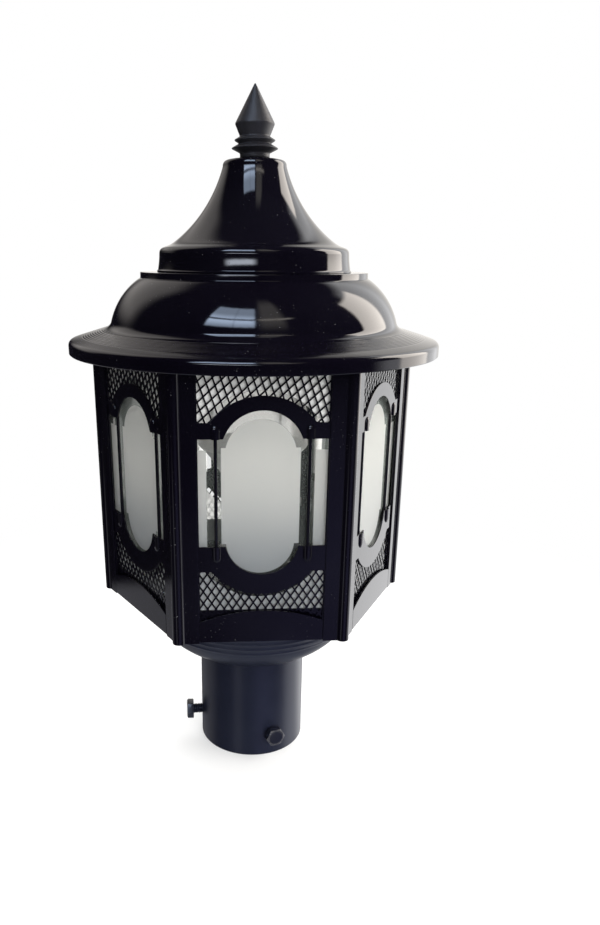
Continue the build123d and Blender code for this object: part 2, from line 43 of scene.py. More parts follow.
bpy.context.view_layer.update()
mm = 0.001
weldGap = 0.000002
cadWeldGap = 0.000001
sideAngle = 60.0
sideNames = ("front", "front_right", "back_right", "back", "back_left", "front_left")
cornerNames = ("front_right", "right", "back_right", "back_left", "left", "front_left")
print("frame loaded with", len(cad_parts), "nodes")


# A socket that takes part in expressions, each of which adds its nodes
class Wire:
    def __init__(self, tree, socket=None):
        self.tree = tree
        self.socket = socket

    def node(self, kind, settings=None, sockets=None, output=0):
        made = self.tree.nodes.new("ShaderNode" + kind)
        for name, value in (settings or {}).items():
            setattr(made, name, value)
        for name, value in (sockets or {}).items():
            if isinstance(value, Wire):
                self.tree.links.new(value.socket, made.inputs[name])
            else:
                made.inputs[name].default_value = value
        return Wire(self.tree, made.outputs[output])

    def maths(self, operation, first, second=0.0):
        return self.node("Math", {"operation": operation}, {0: first, 1: second})

    def __add__(self, other):
        return self.maths("ADD", self, other)

    def __radd__(self, other):
        return self.maths("ADD", other, self)

    def __sub__(self, other):
        return self.maths("SUBTRACT", self, other)

    def __rsub__(self, other):
        return self.maths("SUBTRACT", other, self)

    def __mul__(self, other):
        return self.maths("MULTIPLY", self, other)

    def __rmul__(self, other):
        return self.maths("MULTIPLY", other, self)

    def __truediv__(self, other):
        return self.maths("DIVIDE", self, other)

    def __rtruediv__(self, other):
        return self.maths("DIVIDE", other, self)

    def __abs__(self):
        return self.maths("ABSOLUTE", self)

    def root(self):
        return self.maths("SQRT", self)

    def most(self, other):
        return self.maths("MAXIMUM", self, other)

    # 0 below low and 1 above high, eased between
    def rise(self, low, high):
        return self.node("MapRange", {"interpolation_type": "SMOOTHSTEP"}, {0: self, 1: low, 2: high})

    # 1 between two values, with soft ends
    def band(self, low, high, soft):
        return self.rise(low - soft, low + soft) * (1 - self.rise(high - soft, high + soft))

    # a colour between two, with this value as the share of the second
    def mixed(self, first, second):
        return self.node("Mix", {"data_type": "RGBA"}, {0: self, 6: first, 7: second}, 2)


# Noise is given as its scale, detail and roughness
def noise(wire, place, scale, detail, rough):
    sockets = {"Vector": place, "Scale": scale, "Detail": detail, "Roughness": rough}
    return wire.node("TexNoise", None, sockets)


# A bump is given as its strength and its depth in metres, and may lie on another one
def bumped(wire, height, strength, depth, below=None):
    sockets = {"Height": height, "Strength": strength, "Distance": depth}
    if below:
        sockets["Normal"] = below
    return wire.node("Bump", None, sockets)


def axesOf(wire, vector):
    return [wire.node("SeparateXYZ", None, {0: vector}, axis) for axis in range(3)]


def openFinish(name):
    material = bpy.data.materials.new(name)
    material.use_nodes = True
    wire = Wire(material.node_tree)
    place = wire.node("TexCoord", output="Object")
    return material, wire, place


def closeFinish(material, inputs):
    shader = material.node_tree.nodes["Principled BSDF"]
    for name, value in inputs.items():
        if isinstance(value, Wire):
            material.node_tree.links.new(value.socket, shader.inputs[name])
        else:
            shader.inputs[name].default_value = value
    return material


# A share of the light that falls on the far side comes through
def letThrough(material, wire, colour, share):
    nodes = material.node_tree.nodes
    front = Wire(material.node_tree, nodes["Principled BSDF"].outputs[0])
    lit = wire.node("BsdfTranslucent", None, {"Color": colour})
    both = wire.node("MixShader", None, {0: share, 1: front, 2: lit})
    material.node_tree.links.new(both.socket, nodes["Material Output"].inputs["Surface"])
    return material


def rgb(red, green, blue):
    return (red, green, blue, 1.0)


blackPaint = {
    "deep": rgb(0.0015, 0.0011, 0.0030),
    "lifted": rgb(0.0029, 0.0026, 0.0050),
    "cloud": (16.0, 3.0, 0.5),
    "cloudRange": (0.35, 0.68),
    "gloss": 0.055,
    "smear": (48.0, 5.0, 0.62),
    "smearRange": (0.42, 0.75),
    "smearDulls": 0.05,
    "dust": rgb(0.16, 0.16, 0.165),
    "speck": (1500.0, 0.0, 0.5),
    "speckRange": (0.80, 0.86),
    "dustyRange": (0.45, 0.70),
    "dustShare": 0.55,
    "dustDulls": 0.4,
    "peel": (360.0, 1.0, 0.5),
    "peelBump": (0.35, 0.00002),
    "ringZone": (0.0765, 0.0900, 0.0015),
    "ringFine": 1300.0,
    "ringNoise": (1.0, 3.0, 0.6),
    "ringBump": (1.0, 0.00006),
}


# Sprayed gloss black with a faint orange peel, smears and dust; the brim shows the rings left by spinning
def makeBlackPaint(name, s, spun=False):
    material, wire, place = openFinish(name)
    cloud = noise(wire, place, *s["cloud"])
    smear = noise(wire, place, *s["smear"])
    speck = noise(wire, place, *s["speck"])
    peel = noise(wire, place, *s["peel"])
    paint = cloud.rise(*s["cloudRange"]).mixed(s["deep"], s["lifted"])
    dust = speck.rise(*s["speckRange"]) * smear.rise(*s["dustyRange"])
    surface = bumped(wire, peel, *s["peelBump"])
    if spun:
        x, y = axesOf(wire, place)[:2]
        radius = (x * x + y * y).root()
        around = {0: x / radius, 1: y / radius, 2: radius * s["ringFine"]}
        rings = noise(wire, wire.node("CombineXYZ", None, around), *s["ringNoise"])
        surface = bumped(wire, rings * radius.band(*s["ringZone"]), *s["ringBump"], below=surface)
    return closeFinish(material, {
        "Base Color": (dust * s["dustShare"]).mixed(paint, s["dust"]),
        "Roughness": s["gloss"] + smear.rise(*s["smearRange"]) * s["smearDulls"] + dust * s["dustDulls"],
        "Normal": surface,
    })


satinPaint = {
    "deep": rgb(0.0078, 0.0096, 0.0205),
    "lifted": rgb(0.0110, 0.0132, 0.0255),
    "rubbed": rgb(0.030, 0.032, 0.042),
    "gloss": 0.28,
    "cloud": (22.0, 4.0, 0.5),
    "cloudRange": (0.32, 0.70),
    "cloudDulls": 0.10,
    "rub": (95.0, 6.0, 0.7),
    "rubRange": (0.64, 0.80),
    "rubShare": 0.35,
    "rubDulls": 0.08,
    "grain": (2200.0, 2.0, 0.5),
    "grainBump": (0.22, 0.00004),
}
finialPaint = {
    **satinPaint,
    "deep": rgb(0.0125, 0.0125, 0.0155),
    "lifted": rgb(0.0175, 0.0175, 0.0210),
    "rubbed": rgb(0.036, 0.035, 0.037),
    "gloss": 0.42,
}


# Satin enamel with a fine grain and light rubbing
def makeSatinPaint(name, s):
    material, wire, place = openFinish(name)
    cloud = noise(wire, place, *s["cloud"])
    grain = noise(wire, place, *s["grain"])
    worn = noise(wire, place, *s["rub"]).rise(*s["rubRange"])
    paint = cloud.rise(*s["cloudRange"]).mixed(s["deep"], s["lifted"])
    return closeFinish(material, {
        "Base Color": (worn * s["rubShare"]).mixed(paint, s["rubbed"]),
        "Roughness": s["gloss"] + cloud * s["cloudDulls"] + worn * s["rubDulls"],
        "Normal": bumped(wire, grain, *s["grainBump"]),
    })


boltBlack = {
    "deep": rgb(0.0076, 0.0086, 0.0160),
    "bare": rgb(0.018, 0.019, 0.027),
    # edge: the painted highlight colour laid on the edges of the head
    "edge": rgb(0.12, 0.12, 0.13),
    "edgeHighlightLeast": 0.7,
    "edgeHighlightSpread": 0.5,
    "edgeMetal": 0.55,
    "edgeShines": 0.08,
    "gloss": 0.24,
    "rub": (1300.0, 5.0, 0.65),
    "rubRange": (0.56, 0.76),
    "rubShare": 0.4,
    "rubDulls": 0.15,
    "rubBump": (0.12, 0.00003),
}


# Blackened bolt steel, rubbed in patches; the edges of the head carry a painted highlight, a lighter and
# partly metallic colour
def makeBoltBlack(s):
    material, wire, place = openFinish("boltBlack")
    rub = noise(wire, place, *s["rub"])
    edge = wire.node("Attribute", {"attribute_name": "headEdge"}, output="Fac")
    black = (rub.rise(*s["rubRange"]) * s["rubShare"]).mixed(s["deep"], s["bare"])
    # painted highlight: the marked edges of the head take the lighter edge colour
    bright = edge * (s["edgeHighlightLeast"] + rub * s["edgeHighlightSpread"])
    return closeFinish(material, {
        "Base Color": bright.mixed(black, s["edge"]),
        "Metallic": edge * s["edgeMetal"],
        "Roughness": s["gloss"] + rub * s["rubDulls"] - edge * s["edgeShines"],
        "Normal": bumped(wire, rub, *s["rubBump"]),
    })


zincPlate = {
    "pale": rgb(0.60, 0.61, 0.62),
    "dull": rgb(0.40, 0.41, 0.42),
    "gloss": 0.30,
    "crystalScale": 190.0,
    "crystalShare": 0.6,
    "crystalDulls": 0.14,
    "stain": (40.0, 5.0, 0.6),
    "stainRange": (0.4, 0.75),
    "stainShare": 0.4,
    "stainDulls": 0.12,
}


# Zinc plate with its flat crystals
def makeZincPlate(s):
    material, wire, place = openFinish("zincSteel")
    cells = {"Vector": place, "Scale": s["crystalScale"]}
    crystal = wire.node("TexVoronoi", {"feature": "F1"}, cells, "Color")
    tone = wire.node("SeparateColor", None, {0: crystal})
    stain = noise(wire, place, *s["stain"])
    share = tone * s["crystalShare"] + stain.rise(*s["stainRange"]) * s["stainShare"]
    return closeFinish(material, {
        "Base Color": share.mixed(s["pale"], s["dull"]),
        "Metallic": 1.0,
        "Roughness": s["gloss"] + tone * s["crystalDulls"] + stain * s["stainDulls"],
    })


brassSheet = {
    "colours": (rgb(0.72, 0.50, 0.19), rgb(0.36, 0.22, 0.08)),
    "pattern": (120.0, 6.0, 0.6),
    "range": (0.45, 0.78),
    "metallic": 1.0,
    "gloss": 0.24,
    "patternDulls": 0.22,
    "grain": (1600.0, 2.0, 0.5),
    "grainBump": (0.12, 0.00003),
}
bakeliteMould = {
    "colours": (rgb(0.012, 0.010, 0.0095), rgb(0.030, 0.022, 0.018)),
    "pattern": (150.0, 4.0, 0.6),
    "range": (0.42, 0.70),
    "metallic": 0.0,
    "gloss": 0.26,
    "patternDulls": 0.16,
    "grain": (2600.0, 1.0, 0.5),
    "grainBump": (0.15, 0.00003),
}
# Drawn aluminium: its pattern is squeezed to draw lines around the axis
capMetal = {
    "colours": (rgb(0.74, 0.74, 0.73), rgb(0.52, 0.52, 0.52)),
    "squeeze": (1.0, 1.0, 30.0),
    "pattern": (90.0, 4.0, 0.6),
    "range": (0.35, 0.70),
    "metallic": 1.0,
    "gloss": 0.28,
    "patternDulls": 0.18,
    "grain": (90.0, 4.0, 0.6),
    "grainBump": (0.12, 0.00004),
}
bulbPlastic = {
    "colours": (rgb(0.74, 0.74, 0.72), rgb(0.66, 0.66, 0.63)),
    "pattern": (60.0, 4.0, 0.5),
    "range": (0.35, 0.72),
    "metallic": 0.0,
    "gloss": 0.30,
    "patternDulls": 0.12,
    "grain": (2400.0, 1.0, 0.5),
    "grainBump": (0.12, 0.00003),
}
softRubber = {
    "colours": (rgb(0.014, 0.014, 0.014), rgb(0.045, 0.045, 0.045)),
    "pattern": (260.0, 5.0, 0.65),
    "range": (0.45, 0.75),
    "metallic": 0.0,
    "gloss": 0.62,
    "patternDulls": 0.2,
    "grain": (260.0, 5.0, 0.65),
    "grainBump": (0.25, 0.00005),
}


# Two tones of one stuff in a stained, swirled or drawn pattern, with a grain
def makeMottled(name, s):
    material, wire, place = openFinish(name)
    if "squeeze" in s:
        place = wire.node("Mapping", None, {"Vector": place, "Scale": s["squeeze"]})
    pattern = noise(wire, place, *s["pattern"])
    grain = noise(wire, place, *s["grain"])
    return closeFinish(material, {
        "Base Color": pattern.rise(*s["range"]).mixed(*s["colours"]),
        "Metallic": s["metallic"],
        "Roughness": s["gloss"] + pattern * s["patternDulls"],
        "Normal": bumped(wire, grain, *s["grainBump"]),
    })


bulbGlobe = {
    "white": rgb(0.93, 0.92, 0.90),
    "shade": rgb(0.88, 0.87, 0.85),
    "powder": (110.0, 5.0, 0.55),
    "powderRange": (0.35, 0.70),
    "gloss": 0.42,
    "powderDulls": 0.12,
    "cover": 0.34,
    "thinCover": 0.06,
    "through": rgb(0.97, 0.96, 0.94),
    "throughShare": 0.24,
    "thinThrough": 0.08,
}


# Thin opal diffuser, a little warmer where the powder is thin
def makeBulbGlobe(s):
    material, wire, place = openFinish("bulbDiffuser")
    powder = noise(wire, place, *s["powder"])
    thin = powder.rise(*s["powderRange"])
    closeFinish(material, {
        "Base Color": thin.mixed(s["white"], s["shade"]),
        "Roughness": s["gloss"] + powder * s["powderDulls"],
        "Alpha": s["cover"] - thin * s["thinCover"],
    })
    return letThrough(material, wire, s["through"], s["throughShare"] + thin * s["thinThrough"])


# Etched figure of a pane in its own millimetres: across its middle line and height over the collar's foot
paneEtch = {
    "columnHalf": 18.5,
    "columnLow": 147.1,
    "columnHigh": 194.2,
    "topCentre": 190.85,
    "topRadius": 16.65,
    "footCentre": 148.35,
    "footRadius": 16.25,
    "stripInner": 25.3,
    "stripLow": 145.1,
    "stripHigh": 193.1,
    "headCentre": 187.75,
    "headRadius": 32.95,
    "headLow": 199.0,
    "baseCentre": 152.3,
    "baseRadius": 32.7,
    "baseHigh": 140.0,
    "soft": 0.22,
    "frost": rgb(0.82, 0.81, 0.775),
    "frostShade": rgb(0.76, 0.76, 0.73),
    "cloud": (28.0, 4.0, 0.5),
    "cloudRange": (0.30, 0.72),
    # painted shade: the etched figure turns darker and lets less light through towards the foot of the pane
    "paintedFootShade": rgb(0.22, 0.24, 0.26),
    "paintedFootShadeRange": (134.0, 196.0),
    # painted light: the head region is lighter, to make up for the shade of the mesh and brim
    "headLitFrost": rgb(0.95, 0.95, 0.93),
    "headThrough": 0.25,
    "baseFrost": rgb(0.37, 0.39, 0.41),
    "through": rgb(0.96, 0.96, 0.94),
    "throughHead": 0.62,
    "throughFoot": 0.36,
    "clear": rgb(0.30, 0.33, 0.31),
    "clearAlpha": 0.04,
    "clearGleam": 0.8,
    "rain": (150.0, 5.0, 0.65),
    "rainRange": (0.60, 0.80),
    "rainAlpha": 0.03,
    "frostAlpha": 0.97,
    "gloss": 0.04,
    "frostDulls": 0.50,
    "grainDulls": 0.12,
    "grain": (3200.0, 2.0, 0.5),
    "grainBump": (0.20, 0.00004),
    "glassIor": 1.5,
}
# Lit copies of the same etched glass: the right pane has a lighter painted foot shade, and the back ones a
# lighter one still and let more light through
litRightEtch = {
    **paneEtch,
    "paintedFootShade": rgb(0.58, 0.59, 0.59),
    "throughHead": 0.58,
    "throughFoot": 0.52,
}
litBackEtch = {
    **paneEtch,
    "paintedFootShade": rgb(0.70, 0.71, 0.71),
    "throughHead": 0.72,
    "throughFoot": 0.66,
}


def makePaneGlass(name, s):
    material, wire, place = openFinish(name)
    across, height = axesOf(wire, wire.node("UVMap", {"uv_map": "paneMillimetres"}))[:2]
    soft = s["soft"]

    def inside(distance, limit):
        return 1 - distance.rise(limit - soft, limit + soft)

    def disc(part):
        up = height - s[part + "Centre"]
        return inside((across * across + up * up).root(), s[part + "Radius"])

    column = inside(abs(across), s["columnHalf"]) * height.band(s["columnLow"], s["columnHigh"], soft)
    strips = (1 - inside(abs(across), s["stripInner"])) * height.band(s["stripLow"], s["stripHigh"], soft)
    head = (1 - disc("head")) * (1 - inside(height, s["headLow"]))
    base = (1 - disc("base")) * inside(height, s["baseHigh"])
    frost = column.most(disc("top")).most(disc("foot")).most(strips).most(head).most(base)
    # painted shade: darker colour and less light through towards the foot of the pane
    upper = height.rise(*s["paintedFootShadeRange"])
    etched = noise(wire, place, *s["cloud"]).rise(*s["cloudRange"]).mixed(s["frost"], s["frostShade"])
    etched = upper.mixed(s["paintedFootShade"], etched)
    # painted light: the head region takes a lighter colour
    etched = head.mixed(etched, s["headLitFrost"])
    etched = base.mixed(etched, s["baseFrost"])
    through = s["throughFoot"] + upper * (s["throughHead"] - s["throughFoot"])
    through = through + head * (s["headThrough"] - s["throughHead"])
    grain = noise(wire, place, *s["grain"])
    rain = noise(wire, place, *s["rain"]).rise(*s["rainRange"])
    gleam = wire.node("Fresnel", None, {"IOR": s["glassIor"]})
    clearShare = s["clearAlpha"] + gleam * s["clearGleam"] + rain * s["rainAlpha"]
    closeFinish(material, {
        "Base Color": frost.mixed(s["clear"], etched),
        "Roughness": s["gloss"] + frost * s["frostDulls"] + frost * grain * s["grainDulls"],
        "Alpha": frost * s["frostAlpha"] + (1 - frost) * clearShare,
        "Normal": bumped(wire, grain * frost, *s["grainBump"]),
    })
    return letThrough(material, wire, s["through"], frost * through)


finishes = {
    "gloss_black": makeBlackPaint("glossBlack", blackPaint),
    "spun_black": makeBlackPaint("spunBlack", blackPaint, True),
    "satin_grey": makeSatinPaint("satinGrey", satinPaint),
    "finial_grey": makeSatinPaint("finialGrey", finialPaint),
    "bolt_black": makeBoltBlack(boltBlack),
    "zinc_steel": makeZincPlate(zincPlate),
    "clear_glass": makePaneGlass("paneGlass", paneEtch),
    "lit_right_glass": makePaneGlass("litRightPaneGlass", litRightEtch),
    "lit_back_glass": makePaneGlass("litBackPaneGlass", litBackEtch),
    "bakelite": makeMottled("bakelite", bakeliteMould),
    "brass": makeMottled("brass", brassSheet),
    "bulb_cap_metal": makeMottled("bulbCapMetal", capMetal),
    "bulb_plastic": makeMottled("bulbPlastic", bulbPlastic),
    "bulb_diffuser": makeBulbGlobe(bulbGlobe),
    "rubber": makeMottled("rubber", softRubber),
}
print("finishes made:", len(finishes))


# Handling of pieces
def emptyHands():
    if bpy.context.object and bpy.context.object.mode != "OBJECT":
        bpy.ops.object.mode_set(mode="OBJECT")
    bpy.ops.object.select_all(action="DESELECT")


def pickUp(piece):
    emptyHands()
    piece.select_set(True)
    bpy.context.view_layer.objects.active = piece


def editAll(piece):
    pickUp(piece)
    bpy.ops.object.mode_set(mode="EDIT")
    bpy.ops.mesh.select_all(action="SELECT")


def dress(piece, body, slot, *nodes, finish=None):
    piece.data.materials.clear()
    piece.data.materials.append(finishes[finish or slot])
    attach(piece, body)
    if nodes:
        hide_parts(*nodes)
    return piece


def keepNode(node, finish):
    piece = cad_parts[node]
    piece.data.materials.clear()
    piece.data.materials.append(finishes[finish])


def smoothBy(piece, degrees):
    pickUp(piece)
    bpy.ops.object.shade_smooth_by_angle(angle=math.radians(degrees))


def applyModifier(piece, kind, settings):
    pickUp(piece)
    modifier = piece.modifiers.new(kind, kind)
    for name, value in settings.items():
        setattr(modifier, name, value)
    bpy.ops.object.modifier_apply(modifier=modifier.name)


def easeEdges(piece, width, angle):
    applyModifier(piece, "BEVEL", {
        "width": width * mm,
        "segments": 2,
        "limit_method": "ANGLE",
        "angle_limit": math.radians(angle),
        "use_clamp_overlap": True,
    })


# A CAD node's shape as a new piece with its edges eased; flat faces keep flat shading beside them
def easedCopy(name, node, edge, angle=40.0, flatAngle=0.4):
    piece = bpy.data.objects.new(name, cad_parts[node].data.copy())
    scene.collection.objects.link(piece)
    editAll(piece)
    bpy.ops.mesh.remove_doubles(threshold=cadWeldGap)
    bpy.ops.mesh.dissolve_limited(angle_limit=math.radians(flatAngle))
    bpy.ops.object.mode_set(mode="OBJECT")
    bpy.ops.mesh.customdata_custom_splitnormals_clear()
    easeEdges(piece, edge, angle)
    smoothBy(piece, angle)
    applyModifier(piece, "WEIGHTED_NORMAL", {"mode": "FACE_AREA", "weight": 100, "keep_sharp": True})
    return piece


def turnedCopy(piece, name, degrees):
    copy = bpy.data.objects.new(name, piece.data.copy())
    scene.collection.objects.link(copy)
    copy.data.transform(Matrix.Rotation(math.radians(degrees), 4, "Z"))
    return copy


def joinInto(piece, others):
    emptyHands()
    for other in others:
        other.select_set(True)
    piece.select_set(True)
    bpy.context.view_layer.objects.active = piece
    bpy.ops.object.join()
    return piece


# Points on an arc after its start; the centre is left of the way for a positive radius
def bow(start, end, radius, count):
    first, last = Vector(start), Vector(end)
    chord = last - first
    reach = math.copysign(math.sqrt(radius ** 2 - chord.length_squared / 4) / chord.length, radius)
    centre = (first + last) / 2 + Vector((-chord.y, chord.x)) * reach
    begin = math.atan2(first.y - centre.y, first.x - centre.x)
    finish = math.atan2(last.y - centre.y, last.x - centre.x)
    turn = (finish - begin + math.pi) % (2 * math.pi) - math.pi
    size = abs(radius)
    points = []
    for step in range(1, count + 1):
        angle = begin + turn * step / count
        points.append((centre.x + size * math.cos(angle), centre.y + size * math.sin(angle)))
    return points


# A corner drawn as a short curve from one point to another
def curl(start, corner, end, count):
    points = []
    for step in range(count + 1):
        share = step / count
        weights = ((1 - share) ** 2, 2 * share * (1 - share), share ** 2)
        ways = zip(start, corner, end)
        points.append(tuple(sum(w * v for w, v in zip(weights, values)) for values in ways))
    return points


# Every inner corner of a line eased by a setback
def easedLine(points, setback, count):
    eased = [points[0]]
    most = 0.45
    for before, corner, after in zip(points, points[1:], points[2:]):
        here = Vector(corner)
        back, on = Vector(before) - here, Vector(after) - here
        start = here + back.normalized() * min(setback, back.length * most)
        end = here + on.normalized() * min(setback, on.length * most)
        eased += curl(start, here, end, count)
    return eased + [points[-1]]


# Points given by their moves outwards and upwards from one place
def movesFrom(place, moves):
    return [(place[0] + out, place[1] + up) for out, up in moves]


# A single point at a place in millimetres, in edit mode and ready to be extruded
def startLine(name, place):
    emptyHands()
    bpy.ops.mesh.primitive_plane_add(size=mm)
    piece = bpy.context.object
    piece.name = name
    bpy.ops.object.mode_set(mode="EDIT")
    bpy.ops.mesh.select_all(action="SELECT")
    bpy.ops.mesh.merge(type="CENTER")
    bpy.ops.transform.translate(value=(place[0] * mm, 0.0, place[1] * mm))
    return piece


def extendLine(out, up):
    bpy.ops.mesh.extrude_vertices_move(TRANSFORM_OT_translate={"value": (out * mm, 0.0, up * mm)})


# A profile of (radius, height) in millimetres, drawn point by point and spun about the axis
def spunPiece(name, profile, steps, smooth=32.0):
    piece = startLine(name, profile[0])
    for here, there in zip(profile, profile[1:]):
        extendLine(there[0] - here[0], there[1] - here[1])
    bpy.ops.mesh.select_all(action="SELECT")
    bpy.ops.mesh.spin(steps=steps, angle=2 * math.pi, center=(0.0, 0.0, 0.0), axis=(0.0, 0.0, 1.0))
    bpy.ops.mesh.select_all(action="SELECT")
    bpy.ops.mesh.remove_doubles(threshold=weldGap)
    bpy.ops.mesh.normals_make_consistent(inside=False)
    bpy.ops.object.mode_set(mode="OBJECT")
    smoothBy(piece, smooth)
    return piece


# Roof brim: rolled rim, spinning rings on the slope, dome, crease and ledge
brim = {
    "rimRadius": 95.25,
    "rimFoot": 230.41,
    "rimTop": 236.61,
    "rimRound": 2.1,
    "rimStep": 1.2,
    "seam": 2.0,
    "footInnerEase": 0.3,
    "footOuterEase": 0.35,
    "slope": 17.2,
    "wall": 1.0,
    "ringInner": 77.6,
    "ringOuter": 88.6,
    "ringPitch": 1.18,
    "ringDepth": 0.055,
    "ringPoints": 60,
    "shoulder": 74.0,
    "shoulderEase": 3.588,
    "innerShoulderEase": 4.2,
    "domeRadius": 36.0,
    "domeTop": (58.4, 266.79),
    "crease": ((0.10, -0.12), (-0.34, 0.10), (-0.46, 0.40)),
    "innerTop": (-0.55, -0.83),
    "ledge": (57.0, 269.79),
    "ledgeEdge": ((-0.52, -0.28), (-0.55, 0.0), (-0.90, 0.0)),
    "upstand": (46.6, 276.79),
    "steps": 192,
}


def brimProfile(b):
    tan = math.tan(math.radians(b["slope"]))
    wall, rim, foot = b["wall"], b["rimRadius"], b["rimFoot"]
    lift = wall / math.cos(math.radians(b["slope"]))

    def onSlope(radius):
        return (radius, b["rimTop"] + (rim - radius) * tan)

    def underSlope(radius):
        return (radius, onSlope(radius)[1] - lift)

    rolled = rim - b["rimRound"]
    points = [(rim, foot + b["seam"]), (rim, foot + b["seam"] + b["rimStep"])]
    points += curl((rim, b["rimTop"] - b["rimRound"]), (rim, b["rimTop"]), onSlope(rolled), 10)
    points.append(onSlope(rolled - b["rimStep"]))
    for step in range(b["ringPoints"] + 1):
        inward = (b["ringOuter"] - b["ringInner"]) * step / b["ringPoints"]
        radius, height = onSlope(b["ringOuter"] - inward)
        wave = math.cos(inward / b["ringPitch"] * 2 * math.pi) - 1
        points.append((radius, height + b["ringDepth"] * wave))
    shoulder = onSlope(b["shoulder"])
    dome = bow(shoulder, b["domeTop"], b["domeRadius"], 32)
    points += curl(onSlope(b["shoulder"] + b["shoulderEase"]), shoulder, dome[2], 10)
    points += dome[3:-1]
    points += movesFrom(b["domeTop"], b["crease"])
    ledgeR, ledgeZ = b["ledge"]
    upR, upZ = b["upstand"]
    points += curl(*movesFrom((b["domeTop"][0], ledgeZ), b["ledgeEdge"]), 5)
    points += [(upR, ledgeZ), (upR, upZ), (upR - wall, upZ), (upR - wall, ledgeZ - wall)]
    points.append((ledgeR - wall, ledgeZ - wall))
    innerTop = movesFrom(b["domeTop"], [b["innerTop"]])[0]
    innerStart = underSlope(b["shoulder"] - wall)
    inside = bow(innerTop, innerStart, wall - b["domeRadius"], 28)
    points.append(innerTop)
    points += inside[:-6]
    points += curl(inside[-6], innerStart, underSlope(innerStart[0] + b["innerShoulderEase"]), 8)
    points.append(underSlope(rim - wall))
    inner, outer = b["footInnerEase"], b["footOuterEase"]
    points += [(rim - wall, foot + inner), (rim - wall + inner, foot)]
    points += [(rim - outer, foot), (rim, foot + outer), (rim, foot + b["seam"])]
    return points


roofBrim = spunPiece("roofBrim", brimProfile(brim), brim["steps"])
dress(roofBrim, "roof", "gloss_black", "roof_brim", finish="spun_black")

# Roof bell: skirt with a lipped foot and rolled top edge, step and trumpet flare
bell = {
    "foot": 269.79,
    "skirtRadius": 49.0,
    "skirtTop": 47.85,
    "skirtFull": 0.15,
    "skirtCurve": 2.0,
    "skirtPoints": 16,
    "lip": 1.3,
    "lipMoves": ((0.25, 0.0), (0.40, 0.15), (0.40, 0.75), (0.02, 1.02)),
    "stepFoot": 280.79,
    "rollGap": 1.9,
    "rollMoves": ((0.15, -1.8), (0.0, 0.05), (-2.0, 0.8)),
    "flareStart": (42.0, 282.99),
    "flareEnd": (15.8, 318.99),
    "flareRadius": 67.0,
    "stepEdge": (1.6, -0.62),
    "innerStart": (-0.42, -0.91),
    "innerEnd": (-0.97, -0.2),
    "top": (12.8, 321.99),
    "innerTop": -0.8,
    "hole": 3.5,
    "holeEase": (1.0, 0.25),
    "wall": 1.0,
    "steps": 160,
}


def bellProfile(b):
    wall, foot, skirt = b["wall"], b["foot"], b["skirtRadius"]
    skirtTop, stepFoot = b["skirtTop"], b["stepFoot"]
    topR, topZ = b["top"]
    tall = stepFoot - foot
    points = []
    for step in range(b["skirtPoints"] + 1):
        height = foot + b["lip"] + (tall - b["lip"] - b["rollGap"]) * step / b["skirtPoints"]
        share = (stepFoot - height) / tall
        spread = (skirt - skirtTop) * share ** b["skirtCurve"]
        points.append((skirtTop + b["skirtFull"] + spread, height))
    points += curl(*movesFrom((skirtTop, stepFoot), b["rollMoves"]), 8)
    flare = bow(b["flareStart"], b["flareEnd"], -b["flareRadius"], 40)
    stepEdge, innerStart = movesFrom(b["flareStart"], (b["stepEdge"], b["innerStart"]))
    points += curl(stepEdge, b["flareStart"], flare[1], 6)
    points += flare[2:]
    points += curl(b["flareEnd"], (b["flareEnd"][0], topZ), b["top"], 8)[1:]
    holeOut, holeDown = b["holeEase"]
    points += [(b["hole"] + holeOut, topZ), (b["hole"], topZ - holeDown), (b["hole"], topZ - wall)]
    points.append((topR + b["innerTop"], topZ - wall))
    innerEnd = movesFrom(b["flareEnd"], [b["innerEnd"]])[0]
    points.append(innerEnd)
    points += bow(innerEnd, innerStart, b["flareRadius"] + wall, 28)
    points += [(skirtTop - wall, stepFoot - wall), (skirt - wall, foot)]
    points += movesFrom((skirt, foot), b["lipMoves"])
    return points + points[:1]


roofBell = spunPiece("roofBell", bellProfile(bell), bell["steps"])
dress(roofBell, "roof", "gloss_black", "roof_bell")

# Finial: neck, two turned discs, cup and spear point over its blind hole; radius and height of each
finial = {
    "foot": 322.89,
    "neck": (7.3, 2.2),
    "lowerDisc": (11.6, 4.2),
    "waist": 7.8,
    "upperDisc": (10.2, 3.2),
    "cup": 5.6,
    "spear": (9.7, 17.5),
    "point": ((0.72, -0.84), (0.44, -0.32), (0.20, -0.07), (0.0, 0.0)),
    "hole": (3.05, 16.0),
    "holeEase": 0.3,
    "ease": 0.62,
    "steps": 96,
}


def finialProfile(f):
    foot, ease = f["foot"], f["holeEase"]
    neckR = f["neck"][0]
    lower = foot + f["neck"][1]
    upper = lower + f["lowerDisc"][1]
    cup = upper + f["upperDisc"][1]
    spear = cup + f["cup"]
    holeR, holeDepth = f["hole"]
    point = movesFrom((0.0, spear + f["spear"][1]), f["point"])
    inside = [(0.0, foot + holeDepth), (holeR, foot + holeDepth), (holeR, foot + ease)]
    line = [
        (holeR + ease, foot),
        (neckR, foot),
        (neckR, lower),
        (f["lowerDisc"][0], (lower + upper) / 2),
        (f["waist"], upper),
        (f["upperDisc"][0], (upper + cup) / 2),
        (neckR, cup),
        (f["spear"][0], spear),
        point[0],
    ]
    return inside + easedLine(line, f["ease"], 5) + point[1:]


finialPiece = spunPiece("finialSpear", finialProfile(finial), finial["steps"])
dress(finialPiece, "finial", "satin_grey", "finial", finish="finial_grey")
keepNode("finial_washer", "rubber")
print("roof turned")

